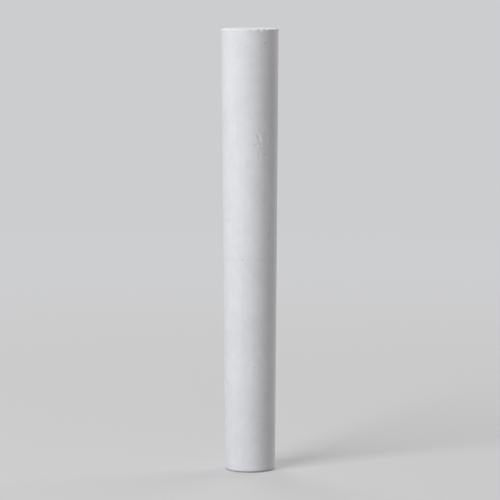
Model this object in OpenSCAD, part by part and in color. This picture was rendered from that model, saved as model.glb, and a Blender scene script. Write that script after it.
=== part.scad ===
// A stick of blackboard chalk: one solid piece of gypsum, cast in a mould.
//
// The mould's cavity is round and narrows a little towards its closed bottom, so that the set stick can be
// pushed out. The stick keeps that draft along its whole length. Its wide end is the poured end, which was
// scraped level with the top of the mould. Its narrow end took the shape of the cavity's flat bottom.
//
// Millimetres. +Z runs up the stick's axis. The origin is the centre of the narrow end, which it stands on.

/* [Stick] */

// Length from end to end
stick_length = 80; // [60:1:100]
// Diameter of the poured end, where the side meets the end face
poured_end_diameter = 10.3; // [9.6:0.1:14]
// Diameter of the closed end, where the side meets the end face
closed_end_diameter = 9.1; // [7:0.1:9.5]

/* [Rims] */

// Radius of the rounding round the poured end
poured_rim_radius = 0.3; // [0.1:0.05:1.5]
// Radius of the rounding round the closed end
closed_rim_radius = 0.5; // [0.1:0.05:1.5]

/* [Colour] */

// Colour of the dry chalk
chalk_colour = "whitesmoke"; // [whitesmoke, khaki, lightpink, lightblue, palegreen]

/* [Hidden] */

// Sides of a drawn circle
$fn = 128;

poured_r = poured_end_diameter / 2;
closed_r = closed_end_diameter / 2;

// Angle between the side and the axis
draft_angle = atan((poured_r - closed_r) / stick_length);
// Unit vector, in the plane of the outline, that points straight out of the side
side_normal = [cos(draft_angle), -sin(draft_angle)];

// Centre of the arc that touches an end face and the side. The arc of the wide end has the sharper corner to
// fill, so lean is +1 there, and it is -1 at the narrow end.
function rim_centre(corner_r, end_z, rim_r, lean) = [
    corner_r - rim_r * (1 + lean * sin(draft_angle)) / cos(draft_angle),
    end_z - lean * rim_r
];

closed_rim_centre = rim_centre(closed_r, 0, closed_rim_radius, -1);
poured_rim_centre = rim_centre(poured_r, stick_length, poured_rim_radius, 1);

// How far inside each arc the side's straight line ends. The overlap is far too small to measure, and it keeps
// the line and the arc from missing each other by a rounding error, which would leave a sliver between them.
arc_overlap = 0.0001;

// Half of the stick's section, with the axis as its left edge. Its two outer corners are cut from one tangent
// point of their arc to the other, and a circle fills what the arc leaves outside the cut.
module half_section() {
    polygon([
        [0, 0],
        [closed_rim_centre.x, 0],
        closed_rim_centre + (closed_rim_radius - arc_overlap) * side_normal,
        poured_rim_centre + (poured_rim_radius - arc_overlap) * side_normal,
        [poured_rim_centre.x, stick_length],
        [0, stick_length]
    ]);
    translate(closed_rim_centre) circle(r = closed_rim_radius);
    translate(poured_rim_centre) circle(r = poured_rim_radius);
}

module chalk_stick() {
    color(chalk_colour)
        rotate_extrude()
            half_section();
}

chalk_stick();
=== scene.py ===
# %% [markdown]
# # A stick of blackboard chalk
#
# Blackboard chalk is wet gypsum poured into a deep round hole, left to set, pushed out and dried. So a
# stick is one dull white solid with a slight taper, a bottom end that is as smooth as the mould, and a
# poured end that was scraped level. There is nothing to assemble here. What makes it read as chalk is
# all in small things: soft rims, the odd burst bubble, rub marks where sticks touched each other, and a
# surface that scatters light like powder.
#
# The CAD model already holds the true size and taper. This script loads it as a fixed frame, models a
# finer skin of the same size round it, and gives that skin its finish.

# %% Load the fixed frame
import math
import random
from collections import namedtuple

import bmesh
import bpy
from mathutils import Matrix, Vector, kdtree, noise


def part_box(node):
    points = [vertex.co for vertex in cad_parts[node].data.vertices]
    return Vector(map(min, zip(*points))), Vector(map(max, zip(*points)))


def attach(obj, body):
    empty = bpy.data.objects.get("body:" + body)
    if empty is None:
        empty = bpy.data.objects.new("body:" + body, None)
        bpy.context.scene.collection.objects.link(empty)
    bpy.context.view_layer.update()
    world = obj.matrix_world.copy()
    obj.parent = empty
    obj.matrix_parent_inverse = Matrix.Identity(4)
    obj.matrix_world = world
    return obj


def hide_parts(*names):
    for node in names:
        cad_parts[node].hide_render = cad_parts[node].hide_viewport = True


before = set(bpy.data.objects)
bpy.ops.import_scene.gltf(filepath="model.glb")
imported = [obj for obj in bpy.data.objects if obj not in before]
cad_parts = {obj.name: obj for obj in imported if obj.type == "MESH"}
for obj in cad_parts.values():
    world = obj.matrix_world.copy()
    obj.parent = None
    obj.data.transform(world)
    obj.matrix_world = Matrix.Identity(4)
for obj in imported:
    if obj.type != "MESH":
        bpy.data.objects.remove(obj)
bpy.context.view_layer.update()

MM = 0.001

# %% [markdown]
# ## Reading the outline from the frame
#
# The finer skin has to keep the CAD stick's outline, so its sizes are measured on the CAD mesh and not
# typed in again. A straight side needs no points along it, so the mesh has them only where the side
# meets the rounded rims. The widest point in the lower half and the widest point in the upper half are
# therefore the two ends of the side, and the line through them is the taper. Only the two small rim
# radii are repeated from the CAD source.

# %% Measure the taper
CAD_NODE = "chalk_stick"
FOOT_RIM = 0.5 * MM
TOP_RIM = 0.3 * MM

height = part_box(CAD_NODE)[1].z
rings = [(math.hypot(v.co.x, v.co.y), v.co.z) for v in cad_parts[CAD_NODE].data.vertices]
low_r, low_z = max(ring for ring in rings if ring[1] < height / 2)
high_r, high_z = max(ring for ring in rings if ring[1] > height / 2)
taper = (high_r - low_r) / (high_z - low_z)
draft = math.atan(taper)


def side_radius(z):
    """Radius of the tapered side at a height, with the rims not yet rounded."""
    return low_r + taper * (z - low_z)


print(f"height {height / MM:.2f} mm, radius {side_radius(0) / MM:.3f} to {side_radius(height) / MM:.3f} mm")
print(f"draft {math.degrees(draft):.2f} degrees")

# %% [markdown]
# ## Camera
#
# The stick is seen straight on and a little from above, as it is when it stands on a table in front of
# someone. A long lens from half a metre keeps its sides almost parallel, so that the taper can be seen
# for what it is. The camera is made from a target, a direction and a distance. The lens is worked out
# from the stick's height, and Blender wants it in millimetres, like the width of the sensor behind it.

# %% Place the camera
VIEW_DISTANCE = 0.55
VIEW_ELEVATION = math.radians(5.5)
FRAME_PER_HEIGHT = 1.13
SENSOR_WIDTH = 36

target = Vector((0, 0, height / 2))
toward_camera = Vector((0, -math.cos(VIEW_ELEVATION), math.sin(VIEW_ELEVATION)))

camera_data = bpy.data.cameras.new("camera")
camera_data.sensor_width = SENSOR_WIDTH
camera_data.lens = SENSOR_WIDTH * VIEW_DISTANCE / (height * FRAME_PER_HEIGHT)
camera_data.clip_start = 0.01
camera = bpy.data.objects.new("camera", camera_data)
camera.location = target + VIEW_DISTANCE * toward_camera
camera.rotation_euler = toward_camera.to_track_quat("Z", "Y").to_euler()
bpy.context.scene.collection.objects.link(camera)
bpy.context.scene.camera = camera
bpy.context.scene.view_settings.view_transform = "Standard"
print(f"lens {camera_data.lens:.0f} mm at {VIEW_DISTANCE} m")

# %% [markdown]
# ## Light
#
# A round matt stick shows its shape only through shading, so the light needs a clear side. One large
# soft panel stands to the left of the camera and above it. It is big enough to leave no hard edge in
# the shading. Two weaker panels stand behind the stick, one on each side. They hardly touch what the
# camera sees, and they give the back a light side of its own when someone walks round. The rest is an
# even, slightly warm glow from all sides.
#
# A panel of power P lights a surface at distance d with P / (pi * d ** 2). Dividing by pi again gives
# the share of the surface's own colour that comes back, so the power is worked out from the share that
# is wanted.

# %% Hang the light panels
KEY_WHITE = (0.96, 0.975, 1.0)
BACK_WHITE = (0.98, 0.99, 1.0)
PANELS = [
    # name, azimuth and elevation in degrees, distance and size in metres, share, colour
    ("key_light", -41, 34, 0.75, 0.40, 0.86, KEY_WHITE),
    ("right_back_light", 132, 22, 0.80, 0.60, 0.46, BACK_WHITE),
    ("left_back_light", 200, 26, 0.80, 0.40, 0.32, BACK_WHITE),
]


def hang_panel(name, azimuth, elevation, distance, size, share, colour):
    """Adds a square soft light that faces the stick. A share of 1 renders a white surface as white."""
    a, e = math.radians(azimuth), math.radians(elevation)
    direction = Vector((math.sin(a) * math.cos(e), -math.cos(a) * math.cos(e), math.sin(e)))
    data = bpy.data.lights.new(name, "AREA")
    data.shape = "SQUARE"
    data.size = size
    data.energy = share * (math.pi * distance) ** 2
    data.color = colour
    panel = bpy.data.objects.new(name, data)
    panel.location = target + distance * direction
    panel.rotation_euler = direction.to_track_quat("Z", "Y").to_euler()
    bpy.context.scene.collection.objects.link(panel)
    print(f"{name}: {data.energy:.2f} W at {distance} m")


for panel in PANELS:
    hang_panel(*panel)

# %% [markdown]
# ## Shader arithmetic in plain Python
#
# A pattern in a shader is a sum of small maths nodes, and wiring them by hand hides the formula. The
# class below wraps a node's output. Python's own operators then add the Math nodes, so a mask can be
# written as `1 - (dust * 0.3)`. Every other node goes through one method, which takes its type, its
# settings and its inputs.

# %% A small shader kit
class Wire:
    """A node's output. Arithmetic on it adds Math nodes."""

    def __init__(self, socket):
        self.socket = socket

    def maths_node(self, operation, *values):
        """Adds a Math node to this output's own tree."""
        nodes = Nodes(self.socket.id_data)
        return nodes.add("ShaderNodeMath", {"operation": operation}, dict(enumerate(values)))

    def __add__(self, other):
        return self.maths_node("ADD", self, other)

    def __radd__(self, other):
        return self.maths_node("ADD", other, self)

    def __sub__(self, other):
        return self.maths_node("SUBTRACT", self, other)

    def __rsub__(self, other):
        return self.maths_node("SUBTRACT", other, self)

    def __mul__(self, other):
        return self.maths_node("MULTIPLY", self, other)

    def __rmul__(self, other):
        return self.maths_node("MULTIPLY", other, self)


class Nodes:
    """One node tree, and the one way of adding a node to it."""

    def __init__(self, tree):
        self.tree = tree

    def add(self, kind, settings, inputs, output=0):
        """Adds a node. Its settings come first, then its inputs, and one output comes back as a Wire."""
        node = self.tree.nodes.new(kind)
        for name, value in settings.items():
            setattr(node, name, value)
        for name, value in inputs.items():
            if isinstance(value, Wire):
                self.tree.links.new(value.socket, node.inputs[name])
            else:
                node.inputs[name].default_value = value
        return Wire(node.outputs[output]) if len(node.outputs) else node

    def mix_colour(self, share, first, second):
        """Mixes two colours, which a Math node would turn grey."""
        return self.add("ShaderNodeMix", {"data_type": "RGBA"}, {0: share, 6: first, 7: second}, output=2)

    def meets_backdrop(self):
        """1 for a ray from the camera, or one that gloss or glass sends on, and 0 for any other."""
        kinds = ("Is Camera Ray", "Is Glossy Ray", "Is Transmission Ray")
        camera_ray, gloss, glass = [self.add("ShaderNodeLightPath", {}, {}, output=kind) for kind in kinds]
        sent_on = gloss.maths_node("MAXIMUM", gloss, glass)
        return sent_on.maths_node("MAXIMUM", camera_ray, sent_on)


def new_material(name):
    """An empty material and its nodes."""
    material = bpy.data.materials.new(name)
    material.use_nodes = True
    material.node_tree.nodes.clear()
    return material, Nodes(material.node_tree)


# %% [markdown]
# ## Surroundings
#
# White chalk on white paper is a classic hard case: the paper must be pale, and the stick must still
# stand out. So the world is two things at once. A camera ray meets a pale backdrop colour, and a light
# ray meets the dim warm glow that fills the shadows. A plain white world would do both jobs with one
# colour, and its light would wash out the stick's shading.

# %% Make the world glow
BACKDROP = (0.60, 0.61, 0.625, 1.0)
GLOW = (1.0, 0.90, 0.86, 1.0)
GLOW_SHARE = 0.23

world = bpy.data.worlds.new("studio")
world.use_nodes = True
world.node_tree.nodes.clear()
bpy.context.scene.world = world
world_nodes = Nodes(world.node_tree)
glow = world_nodes.add("ShaderNodeBackground", {}, {"Color": GLOW, "Strength": GLOW_SHARE})
backdrop = world_nodes.add("ShaderNodeBackground", {}, {"Color": BACKDROP, "Strength": 1.0})
studio = world_nodes.add("ShaderNodeMixShader", {}, {0: world_nodes.meets_backdrop(), 1: glow, 2: backdrop})
world_nodes.add("ShaderNodeOutputWorld", {}, {"Surface": studio})
print("world: glow", GLOW_SHARE, "backdrop", BACKDROP[:3])

# %% [markdown]
# ## Floor
#
# The floor is a wide disc of pale card. Near the stick it is mostly matt card, which takes the shadow,
# and further out it turns into the backdrop, so that no horizon line crosses the picture. For light rays
# the card is grey, because a white table would throw so much light back up that the stick's dark side
# would be lost.

# %% Lay the floor
FLOOR_RADIUS, FLOOR_SIDES = 2.0, 96
CARD_RADIUS, FADE_RADIUS = 0.10, 0.55
BACKDROP_BY_STICK = 0.35
CARD_SEEN = (0.64, 0.64, 0.64, 1.0)
CARD_UNSEEN = (0.35, 0.35, 0.35, 1.0)

bm = bmesh.new()
bmesh.ops.create_circle(bm, cap_ends=True, segments=FLOOR_SIDES, radius=FLOOR_RADIUS)
floor_mesh = bpy.data.meshes.new("floor")
bm.to_mesh(floor_mesh)
bm.free()
floor = bpy.data.objects.new("floor", floor_mesh)
bpy.context.scene.collection.objects.link(floor)

card, card_nodes = new_material("pale_card")
spot = card_nodes.add("ShaderNodeTexCoord", {}, {}, output="Object")
from_stick = card_nodes.add("ShaderNodeVectorMath", {"operation": "LENGTH"}, {0: spot}, output="Value")
fade_inputs = {
    "Value": from_stick,
    "From Min": CARD_RADIUS,
    "From Max": FADE_RADIUS,
    "To Min": BACKDROP_BY_STICK,
    "To Max": 1.0,
}
fade = card_nodes.add("ShaderNodeMapRange", {"interpolation_type": "SMOOTHSTEP"}, fade_inputs)
seen = card_nodes.meets_backdrop()
card_colour = card_nodes.mix_colour(seen, CARD_UNSEEN, CARD_SEEN)
paper = card_nodes.add("ShaderNodeBsdfDiffuse", {}, {"Color": card_colour})
far = card_nodes.add("ShaderNodeEmission", {}, {"Color": BACKDROP, "Strength": 1.0})
surface = card_nodes.add("ShaderNodeMixShader", {}, {0: seen * fade, 1: paper, 2: far})
card_nodes.add("ShaderNodeOutputMaterial", {}, {"Surface": surface})
floor_mesh.materials.append(card)
print("floor radius", FLOOR_RADIUS, "m, card to", CARD_RADIUS, "m, backdrop from", FADE_RADIUS, "m")

# %% [markdown]
# ## The blank: a cone with rounded rims
#
# The mould's hole narrows by a hair towards its bottom, so the modelling starts from a cone with the
# two radii of the taper. Its sharp rims are bevelled next. A bevel with a profile of 0.5 makes an even
# round, and each rim has a radius of its own: the foot took the rounded edge of the mould's bottom, and
# the poured end was scraped level while it was damp, which leaves a tighter rim. Half an outline spun
# round the axis would give the same blank, but the points of its two arcs would have to be worked out.

# %% Turn the blank
SIDES = 128
RIM_STEPS = 7
TOUCHING = 1e-7

bm = bmesh.new()
bmesh.ops.create_cone(
    bm,
    cap_ends=True,
    segments=SIDES,
    radius1=side_radius(0),
    radius2=side_radius(height),
    depth=height,
)
bmesh.ops.translate(bm, verts=bm.verts, vec=(0, 0, height / 2))

for z, radius in ((0, FOOT_RIM), (height, TOP_RIM)):
    ring = [e for e in bm.edges if all(abs(v.co.z - z) < TOUCHING for v in e.verts)]
    bmesh.ops.bevel(
        bm,
        geom=ring,
        offset=radius,
        offset_type="OFFSET",
        affect="EDGES",
        segments=RIM_STEPS,
        profile=0.5,
        material=-1,
    )
print("blank:", len(bm.verts), "points,", len(bm.faces), "faces")

# %% [markdown]
# ## The same stick every time
#
# Bevel makes its edges and faces in an order that depends on the computer's memory, and so changes from
# run to run. That order decides how the normals are added up, and with them the last digit of a few
# points. The points come in the same order every time, so edges and faces are sorted by the points that
# they join. Blender's own sort takes a single number for each of them, so a list ranks them first. A trip
# through a mesh then sets the workbench up afresh in that order.


# %% Fix the order of edges and faces
def fix_order(parts):
    """Sorts edges or faces by the numbers of their points."""
    ranked = sorted(parts, key=lambda part: sorted(v.index for v in part.verts))
    rank = {part: number for number, part in enumerate(ranked)}
    parts.sort(key=rank.get)


bm.verts.index_update()
fix_order(bm.edges)
fix_order(bm.faces)
blank_mesh = bpy.data.meshes.new("blank")
bm.to_mesh(blank_mesh)
bm.clear()
bm.from_mesh(blank_mesh)
bpy.data.meshes.remove(blank_mesh)
print("sorted:", len(bm.edges), "edges,", len(bm.faces), "faces")

# %% [markdown]
# ## Points to carve with
#
# A cone's side is a fence of tall thin strips, with nothing to move between its ends. Cutting every
# tall edge into short steps turns the fence into small cells, a little taller than they are wide.
# Subdivision Surface would make cells too, but it would also soften the rims that were just bevelled.

# %% Cut rings along the side
CELL_SHAPE = 1.4

cell = 2 * math.pi * side_radius(height / 2) / SIDES
cuts = round(height / (CELL_SHAPE * cell)) - 1
tall = [e for e in bm.edges if e.calc_length() > height / 2]
bmesh.ops.subdivide_edges(bm, edges=tall, cuts=cuts, use_grid_fill=True)
print(f"cells {cell / MM:.2f} mm wide,", len(bm.faces), "faces")

# %% [markdown]
# ## Points on the flat ends
#
# Each flat end is still a single face with many sides, which can't be carved. It is taken out and woven
# again as a grid between two facing quarters of its rim. A fan of triangles would have been easier, but
# it crowds its middle with slivers that shade badly.


# %% Weave the two ends
def weave_end(z):
    """Swaps the many-sided face at a height for a grid."""
    flat = [face for face in bm.faces if len(face.verts) == SIDES]
    end = next(face for face in flat if abs(face.verts[0].co.z - z) < TOUCHING)
    ring = list(end.edges)
    bmesh.ops.delete(bm, geom=[end], context="FACES_ONLY")
    quarter = SIDES // 4
    facing = ring[:quarter] + ring[2 * quarter : 3 * quarter]
    return len(bmesh.ops.grid_fill(bm, edges=facing)["faces"])


print("faces woven into each end:", [weave_end(z) for z in (0, height)])
bmesh.ops.recalc_face_normals(bm, faces=bm.faces)
print("open edges:", sum(e.is_boundary for e in bm.edges))

# %% [markdown]
# ## Where the stick was rubbed
#
# Sticks that travel side by side rub each other, which leaves short grooves, most of them along the
# stick. Each mark is kept as a line from one point to another, with a half width and a depth. Places on
# the side are an angle to the right of the front and a height. These marks are placed one by one, and
# not by chance, because they are what tells this stick from its neighbours.

# %% Place the rub marks
Mark = namedtuple("Mark", "start end half_width depth")


def on_side(angle, z):
    """The point on the side at an angle to the right of the front, in degrees, and a height."""
    a = math.radians(angle)
    return Vector((side_radius(z) * math.sin(a), -side_radius(z) * math.cos(a), z))


RUB_MARKS = [
    # angle and height of each end, half width, depth
    (15.5, 61.3, 23.5, 59.8, 0.36, 0.085),
    (12.0, 61.7, 15.0, 61.3, 0.24, 0.045),
    (13.6, 59.5, 14.6, 59.0, 0.30, 0.070),
    (36.2, 62.0, 36.6, 58.9, 0.24, 0.028),
    (19.0, 58.2, 21.8, 56.5, 0.28, 0.045),
    (33.4, 57.6, 34.0, 57.2, 0.30, 0.060),
]
print("rub marks:", len(RUB_MARKS))

# %% [markdown]
# ## Bubbles
#
# Wet gypsum holds air. Most bubbles rise, so the poured end has the biggest burst ones, and the side has
# only fine pinholes that were caught against the mould. A bubble is simply a mark of no length. Bubbles
# are scattered by a seeded generator, so that every run carves the same stick. A random number raised to
# a power is nearly always small, so most holes come out fine and a few wide. The stretch round the rub
# marks came out of the mould clean, and its pinholes are all of the finest size.

# %% Scatter the bubbles
SEED = 12
PINHOLES, END_BUBBLES = 130, 44
FINEST_HOLE, HOLE_SPREAD, BUBBLE_SPREAD = 0.05 * MM, 0.11 * MM, 0.17 * MM
RARITY = 3
HOLE_DEPTH = 0.8
SIDE_MARGIN = 0.02
END_REACH = 0.94
CLEAN_FROM, CLEAN_TO = 53 * MM, 63 * MM

random.seed(SEED)
marks = [
    Mark(on_side(angle_a, z_a * MM), on_side(angle_b, z_b * MM), half_width * MM, depth * MM)
    for angle_a, z_a, angle_b, z_b, half_width, depth in RUB_MARKS
]
for _ in range(PINHOLES):
    hole = on_side(random.uniform(0, 360), random.uniform(SIDE_MARGIN, 1 - SIDE_MARGIN) * height)
    radius = FINEST_HOLE + HOLE_SPREAD * random.random() ** RARITY
    if CLEAN_FROM < hole.z < CLEAN_TO and hole.y < 0:
        radius = FINEST_HOLE
    marks.append(Mark(hole, hole, radius, HOLE_DEPTH * radius))
for _ in range(END_BUBBLES):
    around = random.uniform(0, 2 * math.pi)
    out = END_REACH * high_r * math.sqrt(random.random())
    hole = Vector((out * math.cos(around), out * math.sin(around), height))
    radius = FINEST_HOLE + BUBBLE_SPREAD * random.random() ** RARITY
    marks.append(Mark(hole, hole, radius, HOLE_DEPTH * radius))
print("marks in all:", len(marks))

# %% [markdown]
# ## Finer cells only where they are needed
#
# Most pinholes are smaller than one cell. Making the whole stick fine enough for them would take
# millions of faces, so only the edges that lie near a mark are halved, three times over, and each time
# within a narrower margin. A tree of points along the marks finds them quickly. The two rims are halved
# twice, so that they can crumble a little.
#
# Halving some edges of a face and not the others can leave a face with five corners or more. The next
# halving would only add corners to such a face and nothing inside it, so it is cut into triangles first.

# %% Halve the cells round the marks
SPOT_STEP = 0.2 * MM
RIM_BAND = 0.8 * MM
CRUMBLING_BAND = 0.5 * MM

spots = []
for m, mark in enumerate(marks):
    steps = math.ceil((mark.end - mark.start).length / SPOT_STEP)
    spots += [(mark.start.lerp(mark.end, i / max(1, steps)), m) for i in range(steps + 1)]
tree = kdtree.KDTree(len(spots))
for i, (point, _) in enumerate(spots):
    tree.insert(point, i)
tree.balance()
widest = max(mark.half_width for mark in marks)


def corner_gap(point):
    """Distance from a point to the nearer of the two sharp corners that the rims round off."""
    r = math.hypot(point.x, point.y)
    return min(math.hypot(r - side_radius(z), point.z - z) for z in (0, height))


def near_mark(point, margin):
    """True if the point is inside a mark or within a margin of its edge."""
    found = tree.find_range(point, widest + margin)
    return any(gap < marks[spots[i][1]].half_width + margin for _, i, gap in found)


def halve(wanted):
    """Halves the edges whose middle is wanted, and cuts up the faces that this leaves with many corners."""
    chosen = [e for e in bm.edges if wanted((e.verts[0].co + e.verts[1].co) / 2)]
    bmesh.ops.subdivide_edges(bm, edges=chosen, cuts=1, use_grid_fill=True, use_single_edge=True)
    crowded = [face for face in bm.faces if len(face.verts) > 4]
    bmesh.ops.triangulate(bm, faces=crowded)
    return len(chosen)


bands = [RIM_BAND, CRUMBLING_BAND]
print("edges halved at the rims:", [halve(lambda point: corner_gap(point) < band) for band in bands])
margins = [cell, cell / 2, cell / 6]
print("edges halved at the marks:", [halve(lambda point: near_mark(point, margin)) for margin in margins])
print("faces:", len(bm.faces))

# %% [markdown]
# ## Back to the true outline
#
# Halving an edge puts the new point on a straight line, but the stick is round, so each refined patch
# would show as a flat facet. Every point is therefore pushed back on to the exact outline: the tapered
# side, or the arc of the rim that it belongs to.

# %% Settle the points on the outline
foot_centre = (side_radius(0) - FOOT_RIM * (1 - math.sin(draft)) / math.cos(draft), FOOT_RIM)
top_centre = (side_radius(height) - TOP_RIM * (1 + math.sin(draft)) / math.cos(draft), height - TOP_RIM)


def settle(point):
    """The point on the stick's outline that a nearby point belongs to."""
    r = math.hypot(point.x, point.y)
    for (centre_r, centre_z), rim, beyond in (
        (foot_centre, FOOT_RIM, point.z < foot_centre[1] - FOOT_RIM * math.sin(draft)),
        (top_centre, TOP_RIM, point.z > top_centre[1] - TOP_RIM * math.sin(draft)),
    ):
        if beyond:
            if r < centre_r:
                return point
            reach = math.hypot(r - centre_r, point.z - centre_z)
            new_r = centre_r + rim * (r - centre_r) / reach
            new_z = centre_z + rim * (point.z - centre_z) / reach
            return Vector((point.x * new_r / r, point.y * new_r / r, new_z))
    grow = side_radius(point.z) / r
    return Vector((point.x * grow, point.y * grow, point.z))


largest_shift = 0
for v in bm.verts:
    settled = settle(v.co)
    largest_shift = max(largest_shift, (settled - v.co).length)
    v.co = settled
print(f"largest shift {largest_shift / MM:.4f} mm")
bm.normal_update()

# %% [markdown]
# ## Carving
#
# Each point moves along its normal by the sum of what happened there. This could be done with a bump
# map alone, but then the outline would stay perfect, and an exported mesh would lose it all. Boolean
# cuts would give real holes too, but cutting so many is slow and leaves slivers round each one.
#
# A burst bubble is a bowl with a sharp lip. A groove has a rounded bottom and a low ridge of pushed-up
# chalk along it, and it gets narrower and shallower towards both ends. Neither has a true outline: a
# little noise makes each one wider here and narrower there. That noise is fractal: a few layers are
# added up, each finer and weaker than the one before. Where two bubbles met, the deeper one counts,
# because a hole isn't dug twice.

# %% Shape of a mark
RIDGE_HEIGHT, RIDGE_WIDTH = 0.22, 0.9
TIP_SHARE = 0.3
WOBBLE, WOBBLE_SIZE = 0.3, 0.3 * MM
WOBBLE_FADING, WOBBLE_FINER, LAYERS = 0.8, 2.2, 3


def bowl(t):
    """Depth of a burst bubble at t radii from its centre, as a share of its full depth."""
    return max(0.0, 1 - t * t)


def groove(t):
    """Depth of a groove at t half widths from its line. The ridge beside it is negative."""
    if t < 1:
        return (1 - t * t) ** 2
    if t < 1 + RIDGE_WIDTH:
        return -RIDGE_HEIGHT * math.sin(math.pi * (t - 1) / RIDGE_WIDTH) ** 2
    return 0.0


def cut_by(mark, point):
    """How deep a mark cuts at a point, as a share of its full depth."""
    wobble = noise.fractal(point / WOBBLE_SIZE, WOBBLE_FADING, WOBBLE_FINER, LAYERS)
    ragged = mark.half_width * (1 + WOBBLE * wobble)
    run = mark.end - mark.start
    if run.length == 0:
        return bowl((point - mark.start).length / ragged)
    along = min(1.0, max(0.0, (point - mark.start).dot(run) / run.length_squared))
    gap = (point - mark.start - along * run).length
    fullness = TIP_SHARE + (1 - TIP_SHARE) * math.sqrt(math.sin(math.pi * along))
    return groove(gap / (ragged * fullness)) * fullness


print("bowl, from its middle outwards:", [round(bowl(i / 4), 2) for i in range(6)])
print("groove, from its line outwards:", [round(groove(i / 4), 2) for i in range(9)])

# %% [markdown]
# ## The surface between the marks
#
# The skin itself is never quite even. It has a gentle unevenness a few millimetres across, long shallow
# ribs left by sliding out of the mould, and scrape lines on the poured end. Noise fills space, so the
# scrape lines are one flat slice through it, drawn out along X.
#
# The rims have crumbled a little, more at the poured end, where damp chalk was scraped off. Crumbling
# starts at the corner: noise is added to how near a point lies to it, and only what comes out above a
# limit is lost, so each chip has a clear edge. No chip is deeper than a fifth of a millimetre, and the
# rest is hundredths of a millimetre, which is what a matt surface needs to look handled and not dented.

# %% Shape of the skin and the rims
UNEVEN_SIZE, UNEVEN_DEPTH = 2.6 * MM, 0.007 * MM
RIB_WIDTH, RIB_LENGTH, RIB_DEPTH = 1.1 * MM, 26 * MM, 0.009 * MM
SCRAPE_WIDTH, SCRAPE_LENGTH, SCRAPE_DEPTH = 0.45 * MM, 7 * MM, 0.04 * MM
SCRAPE_SLICE, SCRAPE_LEVEL = 0.5, 0.3
CRUMBLE_SIZE, CRUMBLE_DEPTH = 0.8 * MM, 0.25 * MM
CRUMBLE_FADING, CRUMBLE_FINER = 0.7, 2.6
TOP_LIMIT, FOOT_LIMIT = 0.72, 0.68


def swell(point):
    """Height of the mould's unevenness and ribs at a point on the side."""
    ribbed = Vector((point.x / RIB_WIDTH, point.y / RIB_WIDTH, point.z / RIB_LENGTH))
    return noise.noise(point / UNEVEN_SIZE) * UNEVEN_DEPTH + noise.noise(ribbed) * RIB_DEPTH


def scraped(point):
    """Height of the scrape lines at a point on the poured end."""
    lines = Vector((point.x / SCRAPE_LENGTH, point.y / SCRAPE_WIDTH, SCRAPE_SLICE))
    return (noise.noise(lines) - SCRAPE_LEVEL) * SCRAPE_DEPTH


def crumbled(point):
    """How deep a rim has crumbled at a point, as a share of the full depth."""
    near = 1 - corner_gap(point) / CRUMBLING_BAND
    if near < 0:
        return 0.0
    rough = noise.fractal(point / CRUMBLE_SIZE, CRUMBLE_FADING, CRUMBLE_FINER, LAYERS)
    limit = TOP_LIMIT if point.z > height / 2 else FOOT_LIMIT
    return max(0.0, near + rough - limit)


for rim, z in (("foot", 0), ("top", height)):
    near_end = [v.co for v in bm.verts if abs(v.co.z - z) < CRUMBLING_BAND]
    band = [point for point in near_end if corner_gap(point) < CRUMBLING_BAND]
    print(rim, "rim:", sum(crumbled(point) > 0 for point in band), "of", len(band), "points crumbled")

# %% [markdown]
# ## Moving the points
#
# All of it comes together in one pass over the points. The foot's flat face is left as it is, because
# the stick stands on it. Three numbers are stored on each point for the finish to use later: how deep
# it lies in a burst bubble, which the finish turns into painted shade, how much fresh chalk was laid
# bare there, and how much it belongs to the end that was scraped level. The last is the upward part of
# its normal, raised to a power so that it drops to nothing round the rim.

# %% Carve every point
FRESH_PER_LOSS = 3
LEVEL_SHARPNESS = 8

search_radius = widest * (1 + RIDGE_WIDTH) + SPOT_STEP
# The first stored number is how deep a point lies in a burst bubble; the finish paints shade with it.
hollow_shade = bm.verts.layers.float.new("hollow_shade")
fresh = bm.verts.layers.float.new("fresh")
levelled = bm.verts.layers.float.new("levelled")
moves = []

for v in bm.verts:
    lost = crumbled(v.co)
    v[fresh] = min(1.0, FRESH_PER_LOSS * lost)
    depth = CRUMBLE_DEPTH * lost
    pit = 0.0
    for m in {spots[i][1] for _, i, _ in tree.find_range(v.co, search_radius)}:
        cut = cut_by(marks[m], v.co)
        if marks[m].start == marks[m].end:
            v[hollow_shade] = max(v[hollow_shade], cut)
            pit = max(pit, marks[m].depth * cut)
        else:
            v[fresh] = max(v[fresh], cut)
            depth += marks[m].depth * cut
    v[levelled] = max(0.0, v.normal.z) ** LEVEL_SHARPNESS
    lift = swell(v.co) * (1 - v[levelled]) + scraped(v.co) * v[levelled]
    on_flat_foot = v.co.z < TOUCHING
    if not on_flat_foot:
        moves.append(lift - depth - pit)
        v.co += v.normal * moves[-1]
        v.co.z = max(0.0, v.co.z)
print(f"deepest {min(moves) / MM:.3f} mm, highest {max(moves) / MM:.3f} mm")

# %% [markdown]
# ## From workbench to object
#
# A bmesh is a workbench, and what is made on it becomes part of the scene only once it is written to a
# mesh. Every edge should have exactly two faces: fewer would be a hole, and more a fold. The faces are
# shaded smooth, because the chips and lips are real geometry by now and need no hard edges drawn in.

# %% Finish the mesh
skin_mesh = bpy.data.meshes.new("chalk_stick_skin")
bm.normal_update()
bm.to_mesh(skin_mesh)
open_edges = sum(not e.is_manifold for e in bm.edges)
triangles = sum(len(face.verts) - 2 for face in bm.faces)
bm.free()
skin_mesh.polygons.foreach_set("use_smooth", [True] * len(skin_mesh.polygons))
stick = bpy.data.objects.new("chalk_stick_skin", skin_mesh)
bpy.context.scene.collection.objects.link(stick)
print("triangles:", triangles, "open or odd edges:", open_edges)

# %% [markdown]
# ## Dry chalk
#
# Chalk is white because it is a heap of clear crystals with air between them: light enters, bounces
# about and leaves in every direction. Its white is slightly cool and never perfectly even. A flat
# colour would look like plastic, and a picture of chalk would stretch over the rims and show a seam, so
# the unevenness is made of noise in the stick's own coordinates.
#
# Noise textures count in blobs per metre, which is hard to picture. The helper takes the size of one
# blob instead. Stretched along one axis, the same noise turns into streaks. Noise swings round a half,
# so a half is taken off where it should add and take away alike.

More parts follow.
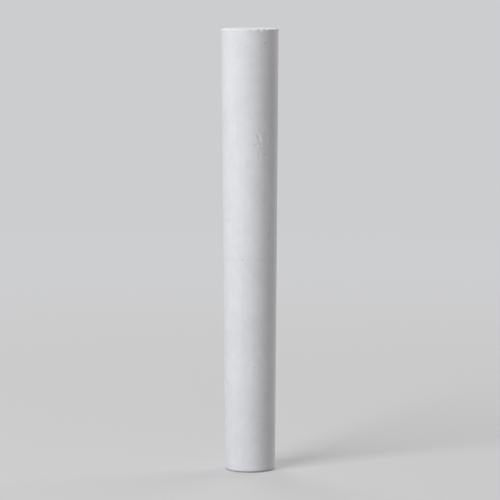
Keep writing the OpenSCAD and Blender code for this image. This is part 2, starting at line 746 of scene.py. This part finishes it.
# %% Noise with a real size
chalk, chalk_nodes = new_material("chalk")
place = chalk_nodes.add("ShaderNodeTexCoord", {}, {}, output="Object")


def cloud(feature, detail=3.0, harsh=0.55, longer=(1, 1, 1)):
    """Noise with blobs about one feature across, in metres. Longer stretches them along X, Y and Z."""
    squeeze = [1 / times for times in longer]
    squeezed = chalk_nodes.add("ShaderNodeMapping", {}, {"Vector": place, "Scale": squeeze})
    inputs = {"Vector": squeezed, "Scale": 1 / feature, "Detail": detail, "Roughness": harsh}
    return chalk_nodes.add("ShaderNodeTexNoise", {}, inputs)


def swing(pattern, share):
    """Noise moved to swing round zero, times the share that it counts for."""
    return (pattern - 0.5) * share


def stored(name):
    """A number that was stored on the points."""
    return chalk_nodes.add("ShaderNodeAttribute", {"attribute_name": name}, {}, output="Fac")


drying = cloud(9 * MM)
powder = cloud(1.4 * MM, detail=5.0)
streaks = cloud(0.5 * MM, detail=2.0, longer=(1, 1, 20))
grain = cloud(0.12 * MM, detail=4.0, harsh=0.8)
scrapes = swing(cloud(0.16 * MM, longer=(25, 1, 1)), stored("levelled"))
print("nodes for the noises:", len(chalk.node_tree.nodes))

# %% [markdown]
# ## Pores
#
# Between the burst bubbles there are pores too small and too many for the mesh. A Voronoi texture gives
# each cell of a jumbled grid one point, and the distance to it. Its colour is a different random one in
# each cell, so its red part serves as a lot that decides how big that cell's pore is. Squaring the lot
# makes most pores small and a few large, and two grids of different spacing hide the order that one
# would still show.

# %% Sprinkle the pores
def pores(spacing, top_radius):
    """Round pits, one to a cell of a jumbled grid, in sizes up to a top radius. Both in metres."""
    grid = {"Vector": place, "Scale": 1 / spacing}
    gap = chalk_nodes.add("ShaderNodeTexVoronoi", {}, grid, output="Distance")
    cell_colour = chalk_nodes.add("ShaderNodeTexVoronoi", {}, grid, output="Color")
    lot = chalk_nodes.add("ShaderNodeSeparateColor", {}, {"Color": cell_colour}, output="Red")
    radius = lot * lot * (top_radius / spacing)
    edge = {"Value": gap, "From Min": 0.0, "From Max": radius, "To Min": 1.0, "To Max": 0.0}
    return chalk_nodes.add("ShaderNodeMapRange", {"interpolation_type": "SMOOTHSTEP"}, edge)


coarse_pores = pores(spacing=0.9 * MM, top_radius=0.12 * MM)
fine_pores = pores(spacing=0.36 * MM, top_radius=0.05 * MM)
holes = coarse_pores + fine_pores
print("nodes with the pores:", len(chalk.node_tree.nodes))

# %% [markdown]
# ## Colour
#
# Broad soft clouds come from drying, a fine mottle from the powder on the skin, and long faint streaks
# from the mould. The two whites differ by less than a tenth, because anything more looks like marble.
# Fresh chalk, where the skin was rubbed or has crumbled, is a little lighter. Burst bubbles and pores
# get a painted shade, darkest in the middle of each, which is mixed in last so that it also shows on
# fresh chalk.

# %% Mix the whites
DULL_WHITE = (0.750, 0.763, 0.792, 1.0)
CLEAN_WHITE = (0.842, 0.851, 0.872, 1.0)
FRESH_WHITE = (0.875, 0.88, 0.89, 1.0)
# Painted shade for the insides of burst bubbles and pores.
PORE_SHADE = (0.50, 0.50, 0.51, 1.0)
DRYING_TINT, POWDER_TINT, STREAK_TINT, GRAIN_TINT, SCRAPE_TINT = 1.6, 1.2, 0.7, 1.4, 0.9
FRESH_COVER, HOLLOW_SHADE_SHARE, PORE_SHADE_SHARE = 0.6, 0.45, 0.35

clouds = swing(drying, DRYING_TINT) + swing(powder, POWDER_TINT)
mottle = clouds + swing(streaks, STREAK_TINT) + swing(grain, GRAIN_TINT)
white = chalk_nodes.mix_colour(0.5 + mottle + scrapes * SCRAPE_TINT, DULL_WHITE, CLEAN_WHITE)
white = chalk_nodes.mix_colour(stored("fresh") * FRESH_COVER, white, FRESH_WHITE)
# Painted shade: burst bubbles and pores darken towards their middles, over fresh chalk too.
white = chalk_nodes.mix_colour(stored("hollow_shade") * HOLLOW_SHADE_SHARE, white, PORE_SHADE)
white = chalk_nodes.mix_colour(holes * PORE_SHADE_SHARE, white, PORE_SHADE)
print("nodes with the colour:", len(chalk.node_tree.nodes))

# %% [markdown]
# ## Relief and gloss
#
# The same patterns also drive a Bump node, so that a pore's painted shade and its dent sit in the same
# place and a streak is a faint rib. Fresh chalk is coarser, so the grain counts for more there. Chalk
# hardly shines: the roughness stays close to 0.9, and the specular level is low.
#
# Diffuse Roughness would flatten the light side a little more, and it stays at zero all the same. An
# exported model has no such value, and a bake of the roughness mixes it in, so that the chalk would come
# out half glossy.

# %% Make the chalk
GRAIN_RISE, FRESH_GRAIN_RISE = 1.1, 1.5
POWDER_RISE, STREAK_RISE, SCRAPE_RISE = 0.6, 0.5, 1.5
RELIEF_DEPTH, RELIEF_STRENGTH = 0.03 * MM, 0.6
ROUGHNESS, POWDER_ROUGHNESS, FRESH_ROUGHNESS = 0.88, 0.2, 0.06
SPECULAR_LEVEL = 0.2

grain_relief = grain * (GRAIN_RISE + stored("fresh") * FRESH_GRAIN_RISE)
relief = grain_relief + powder * POWDER_RISE + streaks * STREAK_RISE + scrapes * SCRAPE_RISE - holes
bump = chalk_nodes.add(
    "ShaderNodeBump",
    {},
    {"Height": relief, "Strength": RELIEF_STRENGTH, "Distance": RELIEF_DEPTH},
)
roughness = ROUGHNESS + swing(powder, POWDER_ROUGHNESS) + stored("fresh") * FRESH_ROUGHNESS
body = chalk_nodes.add(
    "ShaderNodeBsdfPrincipled",
    {},
    {
        "Base Color": white,
        "Roughness": roughness,
        "Normal": bump,
        "Specular IOR Level": SPECULAR_LEVEL,
    },
)
chalk_nodes.add("ShaderNodeOutputMaterial", {}, {"Surface": body})
skin_mesh.materials.append(chalk)
print("nodes in the chalk:", len(chalk.node_tree.nodes))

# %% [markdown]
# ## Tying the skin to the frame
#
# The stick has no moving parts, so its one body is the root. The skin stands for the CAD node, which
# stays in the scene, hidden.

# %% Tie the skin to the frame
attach(stick, "root")
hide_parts(CAD_NODE)
print(stick.name, "stands for", CAD_NODE, "on the root")
